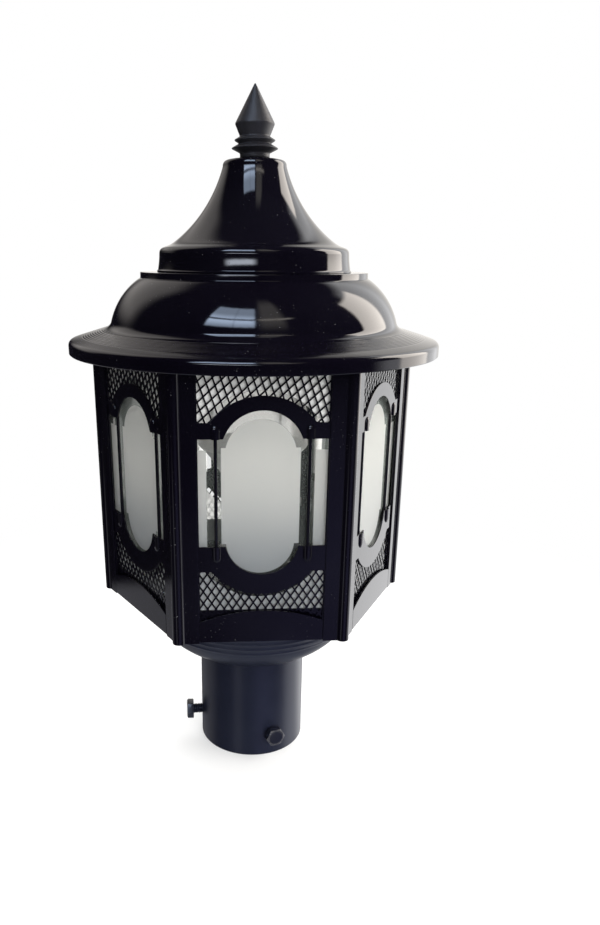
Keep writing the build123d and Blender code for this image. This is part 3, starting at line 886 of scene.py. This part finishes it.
# Bowl: full dish with fine spinning beads under its flange and a rolled lip around the head of the collar
bowl = {
    "radius": 60.4,
    "fullness": 0.93,
    "centre": 95.514,
    "wall": 1.2,
    "foot": (31.1, 60.0),
    "lip": ((-0.45, -0.10), (0.15, -0.28), (0.75, 0.22)),
    "lipSteps": 4,
    "sideSteps": 110,
    "innerSteps": 36,
    "floor": 60.9,
    "hole": 22.0,
    "flange": 67.0,
    "edgeEase": 0.3,
    "mouthEase": 0.4,
    "beads": (80.6, 84.1, 87.2, 90.2),
    "beadHeight": 0.46,
    "beadWidth": 0.70,
    "steps": 160,
}


def bowlProfile(b):
    footR, footZ = b["foot"]
    wall, floor, full, centre = b["wall"], b["floor"], b["fullness"], b["centre"]
    hole, flange, ease = b["hole"], b["flange"], b["edgeEase"]
    startTurn = math.acos((footR / b["radius"]) ** (1 / full))
    depth = (centre - footZ) / math.sin(startTurn) ** full

    def dish(turn, radius, deep):
        return (radius * math.cos(turn) ** full, centre - deep * math.sin(turn) ** full)

    points = movesFrom(b["foot"], b["lip"])
    for step in range(b["lipSteps"], b["sideSteps"] + 1):
        radius, height = dish(startTurn * (1 - step / b["sideSteps"]), b["radius"], depth)
        swell = sum(math.exp(-((height - bead) / b["beadWidth"]) ** 2) for bead in b["beads"])
        points.append((radius + b["beadHeight"] * swell, height))
    rim = centre + wall
    mouth = b["radius"] - wall
    points += [(flange - ease, centre), (flange, centre + ease), (flange, rim - ease), (flange - ease, rim)]
    points += [(mouth + b["mouthEase"], rim), (mouth, rim - b["mouthEase"])]
    innerFoot = floor + wall
    innerTurn = math.asin(((centre - innerFoot) / (depth - wall)) ** (1 / full))
    for step in range(b["innerSteps"] + 1):
        points.append(dish(innerTurn * step / b["innerSteps"], mouth, depth - wall))
    points += [(hole + ease, innerFoot), (hole, innerFoot - ease), (hole, floor + ease), (hole + ease, floor)]
    return points + [(points[0][0], floor), points[0]]


bowlPiece = spunPiece("bowlDish", bowlProfile(bowl), bowl["steps"])
dress(bowlPiece, "body", "satin_grey", "bowl")
dress(easedCopy("collarTube", "collar", 0.5), "body", "satin_grey", "collar")

# Rivet: domed heads on both ends of a shank, made once and then copied round the flange
rivet = {
    "circle": 63.5,
    "under": 95.53,
    "over": 97.53,
    "shank": 2.0,
    "head": 3.5,
    "crown": 1.6,
    "rise": 1.2,
    "count": 6,
    "steps": 28,
}


def rivetProfile(r):
    low, high = r["under"] - r["rise"], r["over"] + r["rise"]
    head, crown = r["head"], r["crown"]
    points = [(0.0, low)] + curl((crown, low), (head, low), (head, r["under"]), 6)
    points += [(r["shank"], r["under"]), (r["shank"], r["over"])]
    points += curl((head, r["over"]), (head, high), (crown, high), 6)
    return points + [(0.0, high)]


def setRivets(r):
    first = spunPiece("bowlRivets", rivetProfile(r), r["steps"])
    first.data.transform(Matrix.Translation((r["circle"] * mm, 0.0, 0.0)))
    apart = 360.0 / r["count"]
    return joinInto(first, [turnedCopy(first, "rivetCopy", apart * turn) for turn in range(1, r["count"])])


dress(setRivets(rivet), "body", "satin_grey", "bowl_rivets")
dress(easedCopy("baseTray", "base_tray", 0.22), "body", "gloss_black", "base_tray")
print("bowl, collar and tray done")

# Clamp bolts: cut thread, hex head with a turned chamfer
bolt = {
    "height": 14.0,
    "tip": 27.8,
    "lengths": {"front": 5.0, "back": 8.0, "left": 8.0},
    "angles": {"front": 289.0, "back": 56.0, "left": 182.0},
    "across": 10.0,
    "headHeight": 4.0,
    "faceRadius": 4.7,
    "faceMoves": ((0.25, -0.12), (0.0, -0.02), (-0.3, 0.0), (-0.7, -0.12)),
    "chamferReach": 6.6,
    "chamferDrop": 1.05,
    "underRadius": 5.2,
    "underRise": 0.62,
    "headEase": 0.12,
    "easeAngle": 20.0,
    "edgeNormals": (0.06, 0.97),
    "crest": 2.95,
    "root": 2.48,
    "pitch": 1.0,
    "threadForm": ((1.0, 0.42), (0.0, 0.12), (-1.0, 0.42), (0.0, 0.04)),
    "threadSteps": 28,
    "spareTurns": 3,
    "headOverlap": 0.3,
    "smooth": 25.0,
}


# The edges of the head are marked for the finish, which paints a highlight on them
def hexHead(name, b):
    emptyHands()
    tall = b["headHeight"]
    corner = b["across"] / math.sqrt(3) * mm
    middle = (0.0, 0.0, tall / 2 * mm)
    bpy.ops.mesh.primitive_cylinder_add(vertices=6, radius=corner, depth=tall * mm, location=middle)
    head = bpy.context.object
    head.name = name
    bpy.ops.object.transform_apply(location=True, rotation=True, scale=True)
    face = movesFrom((b["faceRadius"], tall), b["faceMoves"])
    under, reach = b["underRadius"], b["chamferReach"]
    cutterProfile = [(0.0, -1.0), (under, -1.0), (under, 0.0), (reach, b["underRise"])]
    cutterProfile += [(reach, tall - b["chamferDrop"])] + face + [(0.0, face[-1][1])]
    cutter = spunPiece("headCutter", cutterProfile, 96)
    applyModifier(head, "BOOLEAN", {"operation": "INTERSECT", "object": cutter, "solver": "EXACT"})
    bpy.data.objects.remove(cutter)
    easeEdges(head, b["headEase"], b["easeAngle"])
    low, high = b["edgeNormals"]
    edges = head.data.attributes.new("headEdge", "FLOAT", "FACE")
    for side in head.data.polygons:
        edges.data[side.index].value = 1.0 if low < side.normal.z < high else 0.0
    return head


def threadedShank(name, length, b):
    shank = startLine(name, (b["root"], -(length + b["pitch"] * (b["spareTurns"] - 1))))
    for side, share in b["threadForm"]:
        extendLine(side * (b["crest"] - b["root"]), share * b["pitch"])
    bpy.ops.object.mode_set(mode="OBJECT")
    applyModifier(shank, "SCREW", {
        "axis": "Z",
        "angle": 2 * math.pi,
        "screw_offset": b["pitch"] * mm,
        "iterations": math.ceil(length / b["pitch"]) + b["spareTurns"],
        "steps": b["threadSteps"],
        "render_steps": b["threadSteps"],
        "use_merge_vertices": True,
        "merge_threshold": weldGap,
    })
    for height, outward in ((-length, -1.0), (b["headOverlap"], 1.0)):
        editAll(shank)
        bpy.ops.mesh.bisect(
            plane_co=(0.0, 0.0, height * mm), plane_no=(0.0, 0.0, outward), use_fill=True, clear_outer=True)
    editAll(shank)
    bpy.ops.mesh.remove_doubles(threshold=weldGap)
    bpy.ops.mesh.normals_make_consistent(inside=False)
    bpy.ops.object.mode_set(mode="OBJECT")
    return shank


def setBolt(side, b):
    length = b["lengths"][side]
    piece = hexHead("clampBolt_" + side, b)
    joinInto(piece, [threadedShank("boltShank", length, b)])
    seat = Matrix.Translation(((b["tip"] + length) * mm, 0.0, b["height"] * mm))
    around = Matrix.Rotation(math.radians(b["angles"][side]), 4, "Z")
    piece.data.transform(around @ seat @ Matrix.Rotation(math.radians(90.0), 4, "Y"))
    smoothBy(piece, b["smooth"])
    return dress(piece, "bolt_" + side, "gloss_black", "clamp_bolt_" + side, finish="bolt_black")


for side in bolt["angles"]:
    setBolt(side, bolt)
print("bolts cut")

# Side panel: eased sheet with the pressed pockets that hold the ends of the bars
pocket = {
    "place": 21.8,
    "face": 71.35,
    "upperFoot": 198.73,
    "upperTall": 6.6,
    "upperHalf": 2.1,
    "lowerHead": 146.63,
    "lowerTall": 8.0,
    "lowerHalf": 2.2,
    "roundness": 1.25,
    "depth": 1.15,
    "wall": 0.35,
    "segments": 24,
    "rings": 12,
    "smooth": 50.0,
}


# A quarter of a ball with its flat end drawn out, closed at the top, or at the foot where tall is negative
def pressedPocket(across, mouth, tall, half, p):
    emptyHands()
    bpy.ops.mesh.primitive_uv_sphere_add(segments=p["segments"], ring_count=p["rings"], radius=1.0)
    piece = bpy.context.object
    piece.name = "pocket"
    bpy.ops.object.mode_set(mode="EDIT")
    for outward in ((0.0, 1.0, 0.0), (0.0, 0.0, -1.0)):
        bpy.ops.mesh.select_all(action="SELECT")
        bpy.ops.mesh.bisect(plane_co=(0.0, 0.0, 0.0), plane_no=outward, clear_outer=True)
    bpy.ops.mesh.select_all(action="DESELECT")
    bpy.ops.object.mode_set(mode="OBJECT")
    mesh = piece.data
    nearby = 0.0001
    for edge in mesh.edges:
        edge.select = all(abs(mesh.vertices[v].co.z) < nearby for v in edge.vertices)
    bpy.ops.object.mode_set(mode="EDIT")
    bpy.ops.mesh.select_mode(type="EDGE")
    bpy.ops.mesh.extrude_edges_move(TRANSFORM_OT_translate={"value": (0.0, 0.0, -1.0)})
    bpy.ops.mesh.select_mode(type="VERT")
    bpy.ops.mesh.select_all(action="SELECT")
    bpy.ops.mesh.remove_doubles(threshold=nearby)
    bpy.ops.mesh.normals_make_consistent(inside=False)
    bpy.ops.object.mode_set(mode="OBJECT")
    rounded = half * p["roundness"]
    straight = abs(tall) - rounded
    mesh.transform(Matrix.Diagonal((half * mm, p["depth"] * mm, rounded * mm, 1.0)))
    for vertex in mesh.vertices:
        if vertex.co.z < -rounded * mm / 2:
            vertex.co.z = -straight * mm
    if tall < 0:
        mesh.transform(Matrix.Scale(-1.0, 4, (0.0, 0.0, 1.0)))
        mesh.flip_normals()
    middle = mouth + math.copysign(straight, tall)
    mesh.transform(Matrix.Translation((across * mm, -p["face"] * mm, middle * mm)))
    applyModifier(piece, "SOLIDIFY", {"thickness": p["wall"] * mm, "offset": -1.0})
    smoothBy(piece, p["smooth"])
    return piece


def makePanel(p):
    panel = easedCopy("sidePanel_front", "side_panel_front", 0.2)
    pockets = []
    for across in (-p["place"], p["place"]):
        pockets.append(pressedPocket(across, p["upperFoot"], p["upperTall"], p["upperHalf"], p))
        pockets.append(pressedPocket(across, p["lowerHead"], -p["lowerTall"], p["lowerHalf"], p))
    return joinInto(panel, pockets)


# Only the outer face of a pane is etched; the other faces take the figure's value at a clear spot
def paneWithMap():
    pane = easedCopy("pane_front_glass", "pane_front", 0.35)
    layer = pane.data.uv_layers.new(name="paneMillimetres")
    clearSpot = (22.0, 170.0)
    outerNormal = -0.9
    for face in pane.data.polygons:
        for index in face.loop_indices:
            spot = pane.data.vertices[pane.data.loops[index].vertex_index].co
            outer = face.normal.y < outerNormal
            layer.data[index].uv = (spot.x / mm, spot.z / mm) if outer else clearSpot
    return pane


# A loose pane lies a little to one side, and its figure with it
def slipFigure(pane, across):
    for spot in pane.data.uv_layers["paneMillimetres"].data:
        spot.uv.x -= across


frontPaneSlip = -0.8
paneFinish = {
    "front": "clear_glass",
    "front_left": "clear_glass",
    "front_right": "lit_right_glass",
    "back_right": "lit_back_glass",
    "back": "lit_back_glass",
    "back_left": "lit_back_glass",
}
firstPanel = makePanel(pocket)
firstPane = paneWithMap()
firstBars = easedCopy("bars_front_rods", "bars_front", 0.25)
firstPost = easedCopy("cornerPost_front_right", "corner_post_front_right", 0.22)
for turn, side in enumerate(sideNames):
    angle = sideAngle * turn
    panel, pane, bars = firstPanel, firstPane, firstBars
    if turn:
        panel = turnedCopy(firstPanel, "sidePanel_" + side, angle)
        pane = turnedCopy(firstPane, "pane_" + side + "_glass", angle)
        bars = turnedCopy(firstBars, "bars_" + side + "_rods", angle)
    dress(panel, "body", "gloss_black", "side_panel_" + side)
    dress(pane, "body", "clear_glass", "pane_" + side, finish=paneFinish[side])
    dress(bars, "body", "gloss_black", "bars_" + side)
    keepNode("grille_" + side, "gloss_black")
slipFigure(firstPane, frontPaneSlip)
for turn, corner in enumerate(cornerNames):
    post = turnedCopy(firstPost, "cornerPost_" + corner, sideAngle * turn) if turn else firstPost
    dress(post, "body", "gloss_black", "corner_post_" + corner)
print("sides and posts done")

# Inner fittings: eased copies of the CAD shapes, each with its body, slot and edge in millimetres
inner = {
    "pane_clips": ("body", "zinc_steel", 0.12),
    "top_ring": ("body", "zinc_steel", 0.2),
    "roof_yoke": ("body", "zinc_steel", 0.35),
    "yoke_screws": ("body", "zinc_steel", 0.5),
    "yoke_nuts": ("body", "zinc_steel", 0.3),
    "roof_stud": ("body", "zinc_steel", 0.4),
    "stud_nuts": ("body", "zinc_steel", 0.4),
    "holder_base": ("body", "bakelite", 0.6),
    "holder_shell": ("body", "brass", 0.15),
    "holder_clamp_ring": ("body", "bakelite", 0.5),
    "contact_plungers": ("plungers", "brass", 0.4),
    "holder_nipple": ("body", "zinc_steel", 0.3),
    "nipple_lock_nut": ("body", "zinc_steel", 0.4),
    "cable_bush": ("body", "rubber", 0.4),
    "bulb_cap": ("bulb", "bulb_cap_metal", 0.4),
    "bulb_housing": ("bulb", "bulb_plastic", 0.4),
    "bulb_globe": ("bulb", "bulb_diffuser", 0.3),
}
for node, (body, slot, edge) in inner.items():
    words = node.split("_")
    name = words[0] + "".join(word.title() for word in words[1:]) + "Piece"
    dress(easedCopy(name, node, edge), body, slot, node)
print("inner fittings done")

# Floor that fades to white, kept out of reflections so that they show the room
floor = {
    "radius": 12.0,
    "height": -0.0004,
    "pale": rgb(0.44, 0.44, 0.44),
    "glow": 0.45,
    "fade": (0.10, 0.42),
    "white": rgb(1.0, 1.0, 1.0),
    "farUnseen": 0.35,
}


def makeFloor(f):
    emptyHands()
    place = (0.0, 0.0, f["height"])
    bpy.ops.mesh.primitive_circle_add(vertices=96, radius=f["radius"], fill_type="NGON", location=place)
    piece = bpy.context.object
    piece.name = "studioFloor"
    material, wire, spot = openFinish("floorWhite")
    nodes = material.node_tree.nodes
    nodes.remove(nodes["Principled BSDF"])
    fade = wire.node("VectorMath", {"operation": "LENGTH"}, {0: spot}, "Value").rise(*f["fade"])
    seen = wire.node("LightPath", output="Is Camera Ray")
    matt = wire.node("BsdfDiffuse", None, {"Color": f["pale"]})
    glow = wire.node("Emission", None, {"Color": f["white"], "Strength": seen * f["glow"]})
    near = wire.node("AddShader", None, {0: matt, 1: glow})
    farLight = f["farUnseen"] + seen * (1 - f["farUnseen"])
    far = wire.node("Emission", None, {"Color": f["white"], "Strength": farLight})
    both = wire.node("MixShader", None, {0: fade, 1: near, 2: far})
    material.node_tree.links.new(both.socket, nodes["Material Output"].inputs["Surface"])
    piece.data.materials.append(material)
    piece.visible_glossy = False
    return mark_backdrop(piece)


makeFloor(floor)

# Room that glossy rays see: patches with their colour, then azimuth and elevation as from, to and softness
patches = {
    "front": (rgb(0.16, 0.16, 0.31), (-86.0, -50.0, 8.0), (-52.0, -14.0, 7.0)),
    "gleam": (rgb(0.55, 0.56, 0.62), (-131.0, -118.0, 3.0), (-54.0, -16.0, 4.0)),
    "back": (rgb(1.15, 1.11, 1.06), (55.0, 99.0, 7.0), (-16.0, 36.0, 7.0)),
    "backLeft": (rgb(0.72, 0.68, 0.65), (104.0, 150.0, 10.0), (12.0, 54.0, 8.0)),
    "backLow": (rgb(0.85, 0.85, 0.87), (52.0, 101.0, 4.0), (-50.0, -8.0, 6.0)),
    "rightBack": (rgb(1.95, 1.95, 1.97), (18.0, 57.0, 7.0), (-36.0, 48.0, 5.0)),
    "underfoot": (rgb(0.24, 0.26, 0.32), (-400.0, 400.0, 1.0), (-200.0, -49.0, 9.0)),
    "table": (rgb(1.25, 1.26, 1.32), (-14.0, 24.0, 8.0), (-60.0, 2.0, 3.0)),
    "tableLeft": (rgb(0.30, 0.30, 0.33), (112.0, 168.0, 8.0), (-60.0, -23.6, 0.6)),
    "wall": (rgb(0.80, 0.77, 0.70), (-88.0, -66.0, 4.0), (32.0, 70.0, 8.0)),
    "wallLine": (rgb(3.2, 3.0, 2.7), (-89.0, -58.0, 4.0), (42.5, 44.5, 0.8)),
    "softbox": (rgb(7.0, 6.5, 6.0), (3.0, 34.0, 2.0), (-14.0, 44.0, 2.0)),
    "window": (rgb(7.8, 9.6, 12.6), (-136.0, -93.0, 1.2), (32.0, 60.0, 1.5)),
    "sky": (rgb(8.0, 8.6, 9.8), (-126.0, -93.0, 5.0), (10.0, 14.5, 1.2)),
}
room = {
    "dark": rgb(0.012, 0.011, 0.016),
    "leftAmbient": rgb(0.22, 0.22, 0.23),
    "rightAmbient": rgb(2.40, 2.38, 2.30),
    "rightWay": (0.94, 0.34),
    "backAmbient": rgb(3.50, 3.46, 3.38),
    "backRange": (0.2, 0.95),
    "leftStrip": ((168.0, 177.0, 2.5), (-34.0, -12.0, 2.0)),
    "softboxLow": 0.5,
    "softboxRange": (-2.0, 12.0),
    "windowLow": 0.42,
    "windowBright": (36.0, 47.0, 5.0),
    "sash": (42.0, 44.4, 0.6),
    "mullion": (-112.0, -110.8, 0.5),
    "mullionShare": 0.4,
    "sashDims": 0.85,
    "white": rgb(1.0, 1.0, 1.0),
}


def makeRoom(r):
    world = bpy.data.worlds.new("studioRoom")
    scene.world = world
    world.use_nodes = True
    world.cycles.sampling_method = "NONE"
    tree = world.node_tree
    wire = Wire(tree)
    x, y, z = axesOf(wire, wire.node("TexCoord", output="Generated"))
    degree = 180.0 / math.pi
    azimuth = x.maths("ARCTAN2", y, x) * degree
    elevation = z.maths("ARCSINE", z) * degree
    bright = elevation.band(*r["windowBright"]) * (1 - r["windowLow"]) + r["windowLow"]
    bars = elevation.band(*r["sash"]).most(azimuth.band(*r["mullion"]) * r["mullionShare"])
    shades = {
        "softbox": elevation.rise(*r["softboxRange"]) * (1 - r["softboxLow"]) + r["softboxLow"],
        "window": bright * (1 - bars * r["sashDims"]),
    }

    def spot(across, up):
        return azimuth.band(*across) * elevation.band(*up)

    widened = {"tableLeft": spot(*r["leftStrip"])}
    colour = r["dark"]
    for name, (tint, across, up) in patches.items():
        patch = spot(across, up)
        if name in shades:
            patch = patch * shades[name]
        if name in widened:
            patch = patch.most(widened[name])
        colour = patch.mixed(colour, tint)
    right, back = r["rightWay"]
    toRight = (x * right + y * back) * 0.5 + 0.5
    ambient = toRight.mixed(r["leftAmbient"], r["rightAmbient"])
    ambient = y.rise(*r["backRange"]).mixed(ambient, r["backAmbient"])
    shown = wire.node("LightPath", output="Is Glossy Ray").mixed(ambient, colour)
    shown = wire.node("LightPath", output="Is Camera Ray").mixed(shown, r["white"])
    tree.links.new(shown.socket, tree.nodes["Background"].inputs["Color"])


makeRoom(room)

# Soft lamps: azimuth, elevation, distance and size in metres, power in watts, colour
lamps = {
    "keyRight": (352.0, 34.0, 1.5, 1.0, 14.0, (1.0, 0.97, 0.93)),
    "frontFill": (284.0, 12.0, 1.7, 1.1, 19.0, (0.98, 0.98, 1.0)),
    "topSoft": (250.0, 78.0, 1.5, 1.2, 4.0, (1.0, 1.0, 1.0)),
    "backRim": (80.0, 30.0, 1.7, 1.2, 16.0, (1.0, 1.0, 1.0)),
}
aim = Vector((0.0, 0.0, 0.17))


# The way towards an azimuth and elevation in degrees
def towards(azimuth, elevation):
    turn, lift = math.radians(azimuth), math.radians(elevation)
    return Vector((math.cos(turn) * math.cos(lift), math.sin(turn) * math.cos(lift), math.sin(lift)))


def facing(place, way):
    return Matrix.Translation(place) @ way.to_track_quat("-Z", "Y").to_matrix().to_4x4()


for name, (azimuth, elevation, distance, size, power, colour) in lamps.items():
    away = towards(azimuth, elevation)
    light = bpy.data.lights.new(name, "AREA")
    light.shape = "DISK"
    light.size = size
    light.energy = power
    light.color = colour
    lamp = bpy.data.objects.new(name, light)
    scene.collection.objects.link(lamp)
    lamp.matrix_world = facing(aim + away * distance, -away)
    lamp.visible_camera = False
    lamp.visible_glossy = False
print("floor, room and lamps set")

# Camera as found from the photo: distance, height, tilt, focal length and middle in picture points
view = {
    "azimuth": 266.3,
    "distance": 0.4111,
    "height": 0.2771,
    "tilt": 18.67,
    "roll": 0.33,
    "focal": 764.5,
    "middle": (252.74, 515.3),
    "picture": (600.0, 925.0),
    "sensor": 36.0,
    "nearest": 0.01,
}


def setCamera(v):
    lens = bpy.data.cameras.new("photoView")
    camera = bpy.data.objects.new("photoView", lens)
    scene.collection.objects.link(camera)
    place = towards(v["azimuth"], 0.0) * v["distance"] + Vector((0.0, 0.0, v["height"]))
    look = -towards(v["azimuth"], v["tilt"])
    camera.matrix_world = facing(place, look) @ Matrix.Rotation(math.radians(v["roll"]), 4, "Z")
    wide, high = v["picture"]
    lens.sensor_width = v["sensor"]
    lens.lens = v["focal"] * v["sensor"] / high
    lens.shift_x = (wide / 2 - v["middle"][0]) / high
    lens.shift_y = (v["middle"][1] - high / 2) / high
    lens.clip_start = v["nearest"]
    scene.camera = camera


setCamera(view)
